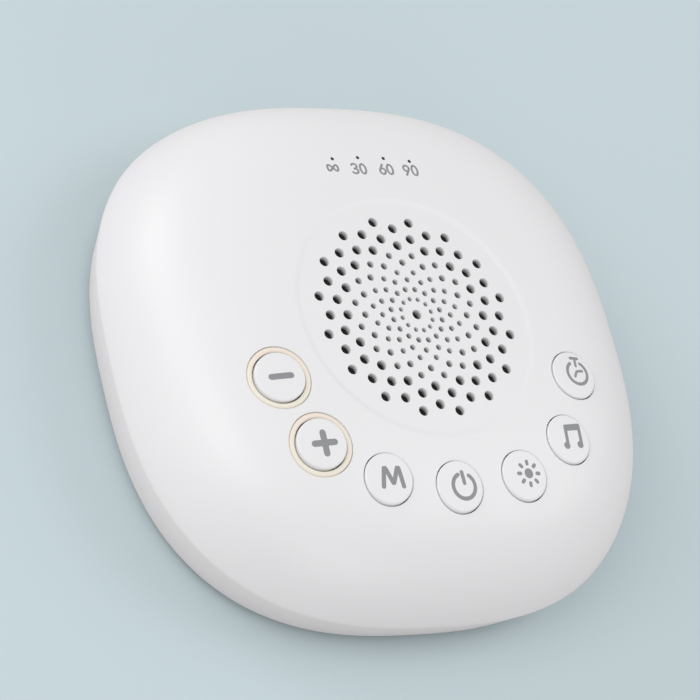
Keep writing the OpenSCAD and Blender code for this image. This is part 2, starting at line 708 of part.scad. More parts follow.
module case_screws() color(steel) for (p = BOSSES) {
    rod(p, screw_head_r, z_screw - screw_head_h, z_screw);
    rod(p, screw_r, z_screw - screw_head_h / 2, z_screw + screw_l);
}
module feet() color(rubber_grey) for (p = BOSSES) {
    translate([p.x, p.y, 0]) cylinder(r1 = foot_r - foot_edge, r2 = foot_r, h = foot_edge);
    rod(p, foot_r, foot_edge, z_base + foot_recess);
}

top_shell();
base_shell();
dust_cloth();
speaker_gasket();
speaker_frame();
speaker_cone();
speaker_magnet();
speaker_screws();
main_board();
board_screws();
switch_bodies();
stem(KEYS[0]);  // minus_stem
stem(KEYS[1]);  // plus_stem
stem(KEYS[2]);  // mode_stem
stem(KEYS[3]);  // power_stem
stem(KEYS[4]);  // light_stem
stem(KEYS[5]);  // music_stem
stem(KEYS[6]);  // timer_stem
button(KEYS[0]);  // minus_button
button(KEYS[1]);  // plus_button
button(KEYS[2]);  // mode_button
button(KEYS[3]);  // power_button
button(KEYS[4]);  // light_button
button(KEYS[5]);  // music_button
button(KEYS[6]);  // timer_button
key_ring(KEYS[0]);  // minus_ring
key_ring(KEYS[1]);  // plus_ring
timer_lamps();
light_guide();
sound_chip();
capacitor();
sockets();
battery();
battery_pad();
power_board();
charge_chip();
power_inlet();
power_screws();
speaker_leads();
battery_leads();
link_cable();
case_screws();
feet();
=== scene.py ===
import math
import bmesh
import bpy
from mathutils import Euler, Matrix, Vector
from mathutils.geometry import delaunay_2d_cdt


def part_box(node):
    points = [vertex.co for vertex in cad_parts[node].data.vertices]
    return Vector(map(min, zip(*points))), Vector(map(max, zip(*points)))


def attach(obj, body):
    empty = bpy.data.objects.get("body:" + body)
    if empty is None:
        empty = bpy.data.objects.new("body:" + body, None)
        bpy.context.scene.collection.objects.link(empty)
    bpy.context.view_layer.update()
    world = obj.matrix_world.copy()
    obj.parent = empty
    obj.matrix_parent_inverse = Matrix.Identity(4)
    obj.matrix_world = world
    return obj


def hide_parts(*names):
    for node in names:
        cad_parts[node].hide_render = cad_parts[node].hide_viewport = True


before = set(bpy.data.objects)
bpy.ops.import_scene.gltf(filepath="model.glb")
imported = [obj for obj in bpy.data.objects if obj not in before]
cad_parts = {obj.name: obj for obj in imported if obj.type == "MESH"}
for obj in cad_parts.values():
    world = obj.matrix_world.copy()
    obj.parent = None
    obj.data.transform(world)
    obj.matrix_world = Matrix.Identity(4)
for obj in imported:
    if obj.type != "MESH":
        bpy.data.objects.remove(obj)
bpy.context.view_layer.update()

# ---- Base shell ----
# The lower half of the case, a tray of grey-white ABS moulded in one shot with its screw
# bosses and battery ribs. A tongue round its top edge locates the dome, and the four case
# screws enter from below through the recesses of the feet.

# Sizes are in millimetres: a half is half a width, an r a radius and a z a height over the table
case_half, case_corner, case_wall = 55, 2.6, 2.2
base_z, floor_z, parting_z = 1.2, 3.4, 11.4
draft = math.radians(14.4)
hem_round, rim_round = 2, 0.16
base_rim = [(0.04, 0.16), (0.06, 0.08), (0.12, 0.02), (0.2, 0)]
tongue_out, tongue_in, tongue_top, tongue_edge = 52.4, 51.2, parting_z + 1.5, 0.15
boss_r, bore_r, head_r, head_z = 3.6, 1.6, 2.65, 4.05
recess_r, recess_z = 5.65, base_z + 0.8
stand_r, stand_z, stand_places = 2.3, 4.15, [(-7.7, 36), (7.7, 36)]
ribs_half_x, ribs_half_y, ribs_middle_y = 25.35, 18.35, -4
rib_long, rib_thick, rib_h = 7, 1.2, 3
rooted = 0.6
boss_places = [(x, y) for x in (-34, 34) for y in (-34, 34)]


def outline(angle):
    """How far out a rounded square of half width 1 reaches at an angle."""
    return (abs(math.cos(angle)) ** case_corner + abs(math.sin(angle)) ** case_corner) ** (-1 / case_corner)


def turned(profile, steps=48, at=(0, 0), closed=False):
    """A profile of radii and heights turned round an upright axis."""
    bm = bmesh.new()
    line = [bm.verts.new((r, 0, z)) for r, z in profile]
    edges = [bm.edges.new(ends) for ends in zip(line, line[1:] + (line[:1] if closed else []))]
    bmesh.ops.spin(bm, geom=line + edges, cent=(0, 0, 0), axis=(0, 0, 1), angle=2 * math.pi,
                   steps=steps, use_merge=True)
    bmesh.ops.remove_doubles(bm, verts=bm.verts, dist=1e-4)
    bmesh.ops.recalc_face_normals(bm, faces=bm.faces)
    bmesh.ops.translate(bm, verts=bm.verts, vec=(at[0], at[1], 0))
    return bm


def squared(bm):
    """Draws a turned shape out to the case's rounded-square outline."""
    for v in bm.verts:
        v.co.xy *= outline(math.atan2(v.co.y, v.co.x))
    return bm


def join(bm, *parts):
    """Adds further shapes to one and lets go of them."""
    for part in parts:
        mesh = bpy.data.meshes.new("part")
        part.to_mesh(mesh)
        part.free()
        bm.from_mesh(mesh)
        bpy.data.meshes.remove(mesh)
    return bm


def block(low, high, edge=0.15):
    """A box between two corners, with its edges rounded."""
    bm = bmesh.new()
    bmesh.ops.create_cube(bm, size=1)
    bmesh.ops.scale(bm, verts=bm.verts, vec=[b - a for a, b in zip(low, high)])
    bmesh.ops.translate(bm, verts=bm.verts, vec=[(a + b) / 2 for a, b in zip(low, high)])
    bmesh.ops.bevel(bm, geom=bm.edges[:], offset=edge, segments=2, profile=0.5, affect="EDGES",
                    material=-1)
    return bm


def arc(at, radii, start, end, steps=6):
    """Points on an arc of an ellipse, its angles in degrees."""
    turns = [math.radians(start + (end - start) * i / steps) for i in range(steps + 1)]
    return [(at[0] + radii[0] * math.cos(t), at[1] + radii[1] * math.sin(t)) for t in turns]


def bare_loop(bm, height):
    """The open edges at one height."""
    return [e for e in bm.edges if len(e.link_faces) == 1
            and all(abs(v.co.z - height) < 1e-3 for v in e.verts)]


def fill(bm, edges, holes):
    """Fills what lies between level loops of edges with triangles, but not the round holes."""
    verts = list({v for e in edges for v in e.verts})
    number = {v: i for i, v in enumerate(verts)}
    borders = [[number[v] for v in e.verts] for e in edges]
    _, _, triangles, sources = delaunay_2d_cdt([v.co.xy for v in verts], borders, [], 1, 1e-6)[:4]
    for triangle in triangles:
        corners = [verts[sources[i][0]] for i in triangle]
        middle = sum((v.co.xy for v in corners), Vector((0, 0))) / 3
        if all((middle - Vector((x, y))).length > r for x, y, r in holes):
            bm.faces.new(corners)
    bm.normal_update()


def stadium_bar(width, height, stations, z, segments=48):
    """A bar along Y with a stadium section; each station is a Y and how much wider it is."""
    bm = bmesh.new()
    end = bmesh.ops.create_circle(bm, cap_ends=False, segments=segments, radius=height / 2)["verts"]
    edges = list(bm.edges)
    for v in end:
        v.co.x += math.copysign((width - height) / 2, v.co.x) if abs(v.co.x) > 1e-6 else 0
    rows = [end]
    for _ in stations[1:]:
        grown = bmesh.ops.extrude_edge_only(bm, edges=edges)["geom"]
        edges = [g for g in grown if isinstance(g, bmesh.types.BMEdge) and len(g.link_faces) == 1]
        rows.append([g for g in grown if isinstance(g, bmesh.types.BMVert)])
        edges = [e for e in edges if all(v in rows[-1] for v in e.verts)]
    for row, (y, wider) in zip(rows, stations):
        for v in row:
            away = v.co - Vector((math.copysign(max(0, abs(v.co.x) - height / 2), v.co.x), 0, 0))
            v.co += away.normalized() * wider
            v.co = Vector((v.co.x, y, z + v.co.y))
    bmesh.ops.holes_fill(bm, edges=bm.edges, sides=0)
    bmesh.ops.recalc_face_normals(bm, faces=bm.faces)
    return bm


def piece(name, bm, body, material, stands_for=(), sharp=42):
    """Makes a mesh in millimetres into a named piece that rides on a body."""
    bmesh.ops.scale(bm, verts=bm.verts, vec=(0.001,) * 3)
    mesh = bpy.data.meshes.new(name)
    bm.to_mesh(mesh)
    bm.free()
    mesh.shade_smooth()
    mesh.set_sharp_from_angle(angle=math.radians(sharp))
    mesh.materials.append(material)
    made = bpy.data.objects.new(name, mesh)
    bpy.context.scene.collection.objects.link(made)
    if stands_for:
        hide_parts(*stands_for)
    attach(made, body)
    return made


class Effect:
    """A node group over an object's own coordinates, which several materials use."""

    def __init__(self, name, inputs):
        self.group = bpy.data.node_groups.new(name, "ShaderNodeTree")
        sockets = self.group.interface
        for socket, value in inputs.items():
            kind = {1: "NodeSocketFloat", 3: "NodeSocketVector", 4: "NodeSocketColor"}[
                len(value) if isinstance(value, tuple) else 1]
            sockets.new_socket(name=socket, in_out="INPUT", socket_type=kind).default_value = value
        for socket in ("Colour", "Roughness", "Height"):
            kind = "NodeSocketColor" if socket == "Colour" else "NodeSocketFloat"
            sockets.new_socket(name=socket, in_out="OUTPUT", socket_type=kind)
        self.given = self.group.nodes.new("NodeGroupInput").outputs
        self.result = self.group.nodes.new("NodeGroupOutput").inputs
        self.place = self.group.nodes.new("ShaderNodeTexCoord").outputs["Object"]

    def add(self, kind, sources, out=0, **settings):
        """Adds a node, feeds its sockets with values or links, and gives one of its outputs."""
        node = self.group.nodes.new("ShaderNode" + kind)
        for key, value in settings.items():
            setattr(node, key, value)
        for socket, source in sources.items():
            if isinstance(source, bpy.types.NodeSocket):
                self.group.links.new(source, node.inputs[socket])
            else:
                node.inputs[socket].default_value = source
        return node.outputs[out]

    def noise(self, scale, detail=2.0, stretch=(1, 1, 1)):
        """Random cells, so many to the metre; a stretch makes them finer along an axis."""
        where = self.add("Mapping", {"Vector": self.place, "Scale": stretch})
        return self.add("TexNoise", {"Vector": where, "Scale": scale, "Detail": detail})

    def sum(self, kind, first, second, third=0.5):
        """One step of arithmetic."""
        return self.add("Math", {0: first, 1: second, 2: third}, operation=kind)

    def mix(self, share, first, second):
        """Blends two colours, which are sockets 6 and 7 of a Mix node."""
        return self.add("Mix", {0: share, 6: first, 7: second}, out=2, data_type="RGBA")

    def swing(self, share, middle, spread):
        """A value round a middle, spread by a share from 0 to 1."""
        return self.sum("MULTIPLY_ADD", self.sum("SUBTRACT", share, 0.5), spread, middle)

    def fade(self, value, start, full):
        """A share that is 0 at the start and 1 where it is full, both in millimetres."""
        return self.add("MapRange", {"Value": value, "From Min": start / 1000,
                                     "From Max": full / 1000})

    def put(self, **sources):
        """Feeds what the group puts out."""
        for socket, source in sources.items():
            self.group.links.new(source, self.result[socket])


def finish(name, effect, values, depth=0.02, **shader):
    """A material: an effect feeds the shader, whose other values are plain numbers."""
    made = bpy.data.materials.new(name)
    made.use_nodes = True
    nodes, links = made.node_tree.nodes, made.node_tree.links
    surface = nodes["Principled BSDF"]
    node = nodes.new("ShaderNodeGroup")
    node.node_tree = effect.group
    for key, value in values.items():
        node.inputs[key].default_value = value
    bump = nodes.new("ShaderNodeBump")
    bump.inputs["Distance"].default_value = depth / 1000
    bump.inputs["Strength"].default_value = 1
    links.new(node.outputs["Colour"], surface.inputs["Base Color"])
    links.new(node.outputs["Roughness"], surface.inputs["Roughness"])
    links.new(node.outputs["Height"], bump.inputs["Height"])
    links.new(bump.outputs["Normal"], surface.inputs["Normal"])
    for key, value in shader.items():
        surface.inputs[key.replace("_", " ")].default_value = value
    return made


# Moulded plastic: a fine spark-eroded grain, with slow changes of tint and gloss
moulded = Effect("moulded_plastic", {
    "Tint": (0.8, 0.8, 0.8, 1), "Far tint": (0.75, 0.75, 0.75, 1), "Gloss": 0.35,
    "Gloss spread": 0.08, "Grain": 2500.0})
moulded.put(
    Colour=moulded.mix(moulded.noise(26.0, 3.0), moulded.given["Tint"], moulded.given["Far tint"]),
    Roughness=moulded.swing(moulded.noise(90.0, 4.0), moulded.given["Gloss"],
                            moulded.given["Gloss spread"]),
    Height=moulded.noise(moulded.given["Grain"]))

base_plastic = finish("base_plastic", moulded, {
    "Tint": (0.74, 0.74, 0.75, 1), "Far tint": (0.71, 0.71, 0.72, 1), "Gloss": 0.42}, depth=0.004)

# The outline runs up the drafted side, over the rim and the tongue, and down into the tray.
# Each point of the rim is given by how far in and how far down it lies
hem_r = case_half - (parting_z - base_z - hem_round) * math.tan(draft) - hem_round / math.cos(draft)
tray_foot = case_half - (parting_z - floor_z) * math.tan(draft) - case_wall / math.cos(draft)
profile = arc((hem_r, base_z + hem_round), (hem_round, hem_round), -90, -math.degrees(draft), 10)
profile += [(case_half - inward, parting_z - down) for inward, down in base_rim]
profile += [(tongue_out + 0.1, parting_z), (tongue_out, parting_z + 0.1),
            (tongue_out, tongue_top - tongue_edge), (tongue_out - tongue_edge, tongue_top),
            (tongue_in + tongue_edge, tongue_top), (tongue_in, tongue_top - tongue_edge),
            (tray_foot, floor_z)]
base = squared(turned(profile, steps=320))
for boss in boss_places:
    join(base, turned([(recess_r, base_z), (recess_r, recess_z), (head_r, recess_z),
                       (head_r, head_z), (bore_r, head_z), (bore_r, parting_z),
                       (boss_r, parting_z), (boss_r, floor_z)], at=boss))
for height, reach in ((base_z, recess_r), (floor_z, boss_r)):
    fill(base, bare_loop(base, height), [(x, y, reach) for x, y in boss_places])
bmesh.ops.recalc_face_normals(base, faces=base.faces)

# What stands on the floor of the tray is rooted a little way down in it
for stand in stand_places:
    join(base, turned([(0, floor_z - rooted), (stand_r, floor_z - rooted), (stand_r, stand_z),
                       (0, stand_z)], 32, stand))
for mx in (-1, 1):
    for my in (-1, 1):
        corner = (mx * ribs_half_x, my * ribs_half_y + ribs_middle_y)
        for reach_x, reach_y in ((rib_long, rib_thick), (rib_thick, rib_long)):
            near = (corner[0] - mx * reach_x, corner[1] - my * reach_y)
            join(base, block((min(corner[0], near[0]), min(corner[1], near[1]), floor_z - rooted),
                             (max(corner[0], near[0]), max(corner[1], near[1]), floor_z + rib_h)))


def cut(bm, cutter):
    """Takes the shape of a cutter out of a mesh."""
    shapes = []
    for shape in (bm, cutter):
        mesh = bpy.data.meshes.new("shape")
        shape.to_mesh(mesh)
        shape.free()
        shapes.append(bpy.data.objects.new("shape", mesh))
        bpy.context.scene.collection.objects.link(shapes[-1])
    tool = shapes[0].modifiers.new("cut", "BOOLEAN")
    tool.operation, tool.solver, tool.object = "DIFFERENCE", "EXACT", shapes[1]
    tool.use_self = True
    bpy.context.view_layer.update()
    made = bpy.data.meshes.new_from_object(
        shapes[0].evaluated_get(bpy.context.evaluated_depsgraph_get()))
    result = bmesh.new()
    result.from_mesh(made)
    for shape in shapes:
        bpy.data.objects.remove(shape)
    return result


# The slot for the inlet runs through the wall, and its flared mouth leans with the drafted side
inlet_z, inlet_front = 6.8, 53.32
slot_w, slot_h, slot_flare, slot_back, slot_mouth = 9.64, 3.96, 0.35, 48, 53.55
slot = stadium_bar(slot_w, slot_h, [(slot_back, 0), (slot_mouth, 0), (slot_mouth + 0.55, slot_flare),
                                    (slot_mouth + 2.45, slot_flare)], inlet_z)
for v in slot.verts:
    if v.co.y > slot_mouth - 0.5:
        v.co.y += (v.co.z - inlet_z) * math.tan(draft)
base = cut(base, slot)
piece("case_base", base, "housing", base_plastic, ["base_shell"])

# ---- Feet and case screws ----
# Four grey rubber discs, stuck into the round recesses of the base. Each hides a steel
# pan-head screw that ties the two shells together.
rubber = finish("foot_rubber", moulded, {
    "Tint": (0.075, 0.077, 0.08, 1), "Far tint": (0.1, 0.1, 0.105, 1), "Gloss": 0.78,
    "Gloss spread": 0.2, "Grain": 1800.0}, depth=0.03)
foot_r, foot_h, sole_round, back_round = 5.5, 2, 0.45, 0.15
profile = [(0, 0)]
profile += arc((foot_r - sole_round, sole_round), (sole_round, sole_round), -90, 0, 5)
profile += arc((foot_r - back_round, foot_h - back_round), (back_round, back_round), 0, 90, 3)
profile += [(0, foot_h)]
feet = bmesh.new()
for boss in boss_places:
    join(feet, turned(profile, at=boss))
piece("rubber_feet", feet, "housing", rubber, ["feet"])

# Worked metal: faint draw marks, and tarnish that comes and goes
metal = Effect("worked_metal", {
    "Tint": (0.6, 0.6, 0.6, 1), "Far tint": (0.45, 0.45, 0.45, 1), "Gloss": 0.3,
    "Gloss spread": 0.2, "Grain": 900.0})
tarnish = metal.noise(160.0, 5.0)
metal.put(Colour=metal.mix(tarnish, metal.given["Tint"], metal.given["Far tint"]),
          Roughness=metal.swing(tarnish, metal.given["Gloss"], metal.given["Gloss spread"]),
          Height=metal.noise(metal.given["Grain"], 3.0, (1, 1, 14)))
screw_steel = finish("screw_steel", metal, {
    "Tint": (0.62, 0.6, 0.55, 1), "Far tint": (0.5, 0.49, 0.47, 1), "Gloss": 0.3}, depth=0.006,
    Metallic=1.0)


def dress(node, material):
    """Gives a CAD node its finish."""
    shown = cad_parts[node]
    if not shown.material_slots:
        shown.data.materials.append(material)
    for each in shown.material_slots:
        each.material = material


for node in ("case_screws", "board_screws", "speaker_screws", "power_screws"):
    dress(node, screw_steel)

# ---- Battery, power board and inlet ----
# A pouch cell lies on a foam pad in the tray, between four corner ribs. A small board behind it
# charges the cell; its reversible power inlet is a rolled steel shell with a tongue inside.
pouch = Effect("foil_pouch", {"Tint": (0.6, 0.6, 0.6, 1), "Far tint": (0.5, 0.5, 0.5, 1)})
crinkle = pouch.noise(120.0, 5.0, (1, 2.5, 1))
pouch.put(Colour=pouch.mix(crinkle, pouch.given["Tint"], pouch.given["Far tint"]),
          Roughness=pouch.swing(crinkle, 0.34, 0.25), Height=crinkle)
dress("battery", finish("pouch_foil", pouch, {
    "Tint": (0.66, 0.67, 0.69, 1), "Far tint": (0.55, 0.56, 0.58, 1)}, depth=0.25, Metallic=0.9))

# Open-cell foam: small round cells with dark hearts
foam = Effect("foam_cells", {"Tint": (0.03, 0.03, 0.03, 1), "Far tint": (0.07, 0.07, 0.07, 1)})
cells = foam.add("TexVoronoi", {"Vector": foam.place, "Scale": 1400.0})
foam.put(Colour=foam.mix(cells, foam.given["Tint"], foam.given["Far tint"]),
         Roughness=foam.swing(cells, 0.9, 0.15), Height=cells)
black_foam = finish("black_foam", foam, {}, depth=0.25)
dress("battery_pad", black_foam)

# Circuit board: solder mask over copper tracks that run in straight lanes, with tinned spots
board = Effect("circuit_board", {"Tint": (0.012, 0.09, 0.035, 1), "Far tint": (0.02, 0.16, 0.06, 1)})
lanes = board.add("TexBrick", {
    "Vector": board.place, "Color1": (1, 1, 1, 1), "Color2": (1, 1, 1, 1), "Mortar": (0, 0, 0, 1),
    "Scale": 420.0, "Mortar Size": 0.16, "Bias": 0.0, "Brick Width": 3.0, "Row Height": 0.5})
spots = board.add("TexVoronoi", {"Vector": board.place, "Scale": 210.0})
tin_spot = 0.13
tinned = board.sum("LESS_THAN", spots, tin_spot)
board.put(Colour=board.mix(tinned, board.mix(lanes, board.given["Far tint"], board.given["Tint"]),
                           (0.62, 0.6, 0.52, 1)),
          Roughness=board.swing(board.noise(300.0), 0.36, 0.2), Height=lanes)
green_board = finish("green_board", board, {}, depth=0.03)
dress("power_board", green_board)

chip_black = finish("chip_black", moulded, {
    "Tint": (0.018, 0.018, 0.02, 1), "Far tint": (0.03, 0.03, 0.032, 1), "Gloss": 0.55,
    "Grain": 4000.0}, depth=0.02)
dress("charge_chip", chip_black)

inlet_steel = finish("inlet_steel", metal, {
    "Tint": (0.66, 0.66, 0.68, 1), "Far tint": (0.52, 0.52, 0.54, 1), "Gloss": 0.26,
    "Grain": 700.0}, depth=0.006, Metallic=1.0)
inlet_w, inlet_h, inlet_wall = 8.94, 3.26, 0.3
inlet_back, inlet_floor = inlet_front - 7.3, inlet_front - 6.2
inlet = stadium_bar(inlet_w, inlet_h, [(inlet_back, -0.12), (inlet_back + 0.1, 0),
                                       (inlet_front - 0.08, 0), (inlet_front, -0.08)], inlet_z, 64)
inlet = cut(inlet, stadium_bar(inlet_w - 2 * inlet_wall, inlet_h - 2 * inlet_wall,
                               [(inlet_floor, 0), (inlet_front - 0.1, 0),
                                (inlet_front + 0.3, 0.3)], inlet_z, 64))
piece("inlet_shell", inlet, "housing", inlet_steel, ["power_inlet"])
blade_half_w, blade_half_h, blade_tip = 3.35, 0.35, inlet_front - 0.9
blade = block((-blade_half_w, inlet_floor - 0.2, inlet_z - blade_half_h),
              (blade_half_w, blade_tip, inlet_z + blade_half_h), 0.12)
blade_black = finish("inlet_tongue_plastic", moulded, {
    "Tint": (0.02, 0.02, 0.022, 1), "Far tint": (0.03, 0.03, 0.03, 1), "Gloss": 0.45}, depth=0.01)
piece("inlet_tongue", blade, "housing", blade_black, ["power_inlet"])
contact_count, contact_step, contact_half_w, contact_proud = 12, 0.5, 0.13, 0.03
contacts = bmesh.new()
for z in (inlet_z - blade_half_h, inlet_z + blade_half_h):
    for i in range(contact_count):
        x = (i - (contact_count - 1) / 2) * contact_step
        join(contacts, block((x - contact_half_w, blade_tip - 4.5, z - contact_proud),
                             (x + contact_half_w, blade_tip - 0.5, z + contact_proud), 0.02))
gilt = finish("gilt_contacts", metal, {
    "Tint": (0.75, 0.52, 0.2, 1), "Far tint": (0.62, 0.42, 0.16, 1), "Gloss": 0.25}, depth=0.004,
    Metallic=1.0)
piece("inlet_contacts", contacts, "housing", gilt, ["power_inlet"])

# ---- Speaker ----
# A 50 mm driver: a pressed steel frame, a black paper cone on a soft roll, and a magnet between
# two plates. A foam gasket and the black dust cloth lie between it and the grille.
weave = Effect("plain_weave", {"Tint": (0.02, 0.02, 0.02, 1), "Far tint": (0.05, 0.05, 0.05, 1)})
warp = weave.add("TexWave", {"Vector": weave.place, "Scale": 700.0}, out=1, bands_direction="X")
weft = weave.add("TexWave", {"Vector": weave.place, "Scale": 700.0}, out=1, bands_direction="Y")
over = weave.sum("MAXIMUM", warp, weft)
weave.put(Colour=weave.mix(over, weave.given["Tint"], weave.given["Far tint"]),
          Roughness=weave.swing(over, 0.92, 0.1), Height=over)
dress("dust_cloth", finish("black_cloth", weave, {
    "Tint": (0.006, 0.006, 0.006, 1), "Far tint": (0.018, 0.018, 0.018, 1)}, depth=0.1))
dress("speaker_gasket", black_foam)
dress("speaker_frame", finish("frame_paint", moulded, {
    "Tint": (0.014, 0.014, 0.016, 1), "Far tint": (0.024, 0.024, 0.026, 1), "Gloss": 0.3,
    "Gloss spread": 0.15, "Grain": 1300.0}, depth=0.02, Coat_Weight=0.3))
paper = Effect("pressed_paper", {"Tint": (0.03, 0.03, 0.03, 1), "Far tint": (0.06, 0.06, 0.058, 1)})
fibre = paper.noise(800.0, 6.0, (3, 1, 1))
paper.put(Colour=paper.mix(fibre, paper.given["Tint"], paper.given["Far tint"]),
          Roughness=paper.swing(fibre, 0.85, 0.2), Height=fibre)
dress("speaker_cone", finish("cone_paper", paper, {}, depth=0.08))
dress("speaker_magnet", finish("magnet_iron", metal, {
    "Tint": (0.14, 0.14, 0.15, 1), "Far tint": (0.3, 0.3, 0.31, 1), "Gloss": 0.45}, depth=0.02,
    Metallic=0.8))

# ---- Main board ----
# The board hangs on six posts under the dome. It carries the seven switches, each with a
# sprung stem under its button, the sound chip, a capacitor and three of the leads' four sockets.
dress("main_board", green_board)
for node in ("sound_chip", "switch_bodies"):
    dress(node, chip_black)
dress("sockets", finish("socket_nylon", moulded, {
    "Tint": (0.78, 0.75, 0.66, 1), "Far tint": (0.72, 0.69, 0.6, 1), "Gloss": 0.45}, depth=0.01))
dress("capacitor", finish("capacitor_can", metal, {
    "Tint": (0.7, 0.7, 0.72, 1), "Far tint": (0.6, 0.6, 0.62, 1), "Gloss": 0.28}, depth=0.01,
    Metallic=1.0))
stem_plastic = finish("stem_plastic", moulded, {
    "Tint": (0.62, 0.61, 0.58, 1), "Far tint": (0.56, 0.55, 0.52, 1), "Gloss": 0.4}, depth=0.01)
key_names = ("minus", "plus", "mode", "power", "light", "music", "timer")
for name in key_names:
    dress(name + "_stem", stem_plastic)
sleeves = {"speaker_leads": (0.02, 0.02, 0.022, 1), "battery_leads": (0.42, 0.02, 0.02, 1),
           "link_cable": (0.7, 0.7, 0.68, 1)}
for node, tint in sleeves.items():
    darker = tuple(0.85 * c for c in tint[:3]) + (1,)
    dress(node, finish(node + "_sleeve", moulded, {
        "Tint": tint, "Far tint": darker, "Gloss": 0.38}, depth=0.01))

# ---- Timer lamps ----
# Four small surface-mounted lamps on the board, and one clear moulding whose four pipes
# carry their light to the pinholes.
dress("timer_lamps", finish("lamp_resin", moulded, {
    "Tint": (0.75, 0.7, 0.5, 1), "Far tint": (0.68, 0.62, 0.4, 1), "Gloss": 0.25}, depth=0.005))
dress("light_guide", finish("clear_pipe", moulded, {
    "Tint": (0.9, 0.92, 0.93, 1), "Far tint": (0.86, 0.88, 0.9, 1), "Gloss": 0.12}, depth=0.002,
    Transmission_Weight=0.9, IOR=1.49))

# ---- Top shell ----
# The domed face, one white ABS moulding. A shallow round dish in its crown holds the grille;
# seven round holes take the buttons, four pinholes show the lamps, and posts stand inside.
dome_h, crown, shoulder, roll = 21, 0.18, 7.8, 1.41
dish_r, dish_edge, dish_floor, dish_ball = 24.1, 1.5, parting_z + 20.85, 500
seat_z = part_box("dust_cloth")[1].z * 1000
ceiling_h, cup_r, cup_out, cup_deep = 18.2, 25.2, 26.65, 2.6
ringed = ("minus", "plus")
key_hole, ring_seat, seat_deep, tube_out, tube_low = 5.1, 6.3, 2.6, 6.9, 26.09
key_places = dict(zip(key_names, [(-32.3, -12.5), (-27, -26), (-14.8, -33.3), (0, -35.2),
                                  (14.8, -33.3), (27, -26), (32.3, -12.5)]))
lamp_step, lamp_y, lamp_bend, pinhole = 5.76, 34.8, 142, 0.38
lamp_places = [(lamp_step * i, lamp_y - (lamp_step * i) ** 2 / lamp_bend)
               for i in (-1.5, -0.5, 0.5, 1.5)]
aloft = 1000


def ease(share):
    """A share held between 0 and 1, which starts and ends gently."""
    share = min(1, max(0, share))
    return share * share * (3 - 2 * share)


def dome(x, y, half, height):
    """Height of a dome that falls slowly over its crown and steeply at its shoulder."""
    out = math.hypot(x, y) / (half * outline(math.atan2(y, x)))
    return parting_z + height * max(0, 1 - crown * out ** 2 - (1 - crown) * out ** shoulder) ** (1 / roll)


def face(x, y):
    """Height of the outside of the dome, with the dish in its crown."""
    reach = math.hypot(x, y)
    height = dome(x, y, case_half, dome_h)
    if reach < dish_r + dish_edge:
        dish = dish_floor - reach ** 2 / (2 * dish_ball)
        height = dish + (height - dish) * ease((reach - dish_r) / dish_edge)
    return height


def ceiling(x, y):
    """Height of the inside of the dome, with the flat seat over the speaker."""
    return seat_z if math.hypot(x, y) < cup_r else dome(x, y, case_half - case_wall, ceiling_h)


def face_lean(x, y, step=0.05):
    """The direction straight out of the face."""
    return Vector(((face(x - step, y) - face(x + step, y)) / (2 * step),
                   (face(x, y - step) - face(x, y + step)) / (2 * step), 1)).normalized()


def laid(bm, height):
    """Lets down what stands aloft, so that the height `aloft` comes to lie on a surface."""
    for v in bm.verts:
        if v.co.z > aloft / 2:
            v.co.z += height(*v.co.xy) - aloft
    return bm


def hoop(bm, x, y, radius, width, segments):
    """A flat ring of faces round a hole; gives its inner and its outer edges."""
    start = bmesh.ops.create_circle(bm, cap_ends=False, segments=segments, radius=radius)["verts"]
    bmesh.ops.translate(bm, verts=start, vec=(x, y, 0))
    inner = list({e for v in start for e in v.link_edges})
    grown = bmesh.ops.extrude_edge_only(bm, edges=inner)["geom"]
    verts = {g for g in grown if isinstance(g, bmesh.types.BMVert)}
    for v in verts:
        v.co += (v.co - Vector((x, y, 0))).normalized() * width
    outer = [g for g in grown if isinstance(g, bmesh.types.BMEdge) and verts.issuperset(g.verts)]
    return inner, outer


# The face starts flat, as rings round the dish that spread out to the rounded square
flat_r, rows, dish_start = dish_r + 2.3, 54, dish_r - 0.3
stations = [dish_start] + [dish_r + dish_edge * i / 10 for i in range(11)] + [flat_r]
stations += [case_half - (case_half - flat_r) * (1 - i / rows) ** 2 for i in range(1, rows)]
stations += [case_half - d for d in (0.005, 0.002, 0.0007, 0)]  # where the dome is steepest
top = turned([(r, 0) for r in stations], steps=320)
for v in top.verts:
    reach, turn = v.co.xy.length, outline(math.atan2(v.co.y, v.co.x))
    if reach > flat_r:
        share = (reach - flat_r) / (case_half - flat_r)
        v.co.xy *= (flat_r + share * (case_half * turn - flat_r)) / reach

# Each hole clears the faces round it, gets a hoop of its own, and the gap is filled in again
key_rims, small_rims, openings, spare = [], [], [], 0.15
for name, (x, y) in key_places.items():
    radius, width = (ring_seat, 0.5) if name in ringed else (key_hole, 0.75)
    openings.append((x, y, radius, width, 96, key_rims))
openings += [(x, y, pinhole, 0.35, 20, small_rims) for x, y in lamp_places]
for x, y, radius, width, segments, rims in openings:
    middle = Vector((x, y, 0))
    near = {f for f in top.faces
            if any((v.co - middle).length < radius + width + spare for v in f.verts)}
    edge = [e for f in near for e in f.edges if len(near.intersection(e.link_faces)) == 1]
    bmesh.ops.delete(top, geom=list(near), context="FACES")
    inner, outer = hoop(top, x, y, radius, width, segments)
    fill(top, edge + outer, [(x, y, radius + width)])
    rims += inner

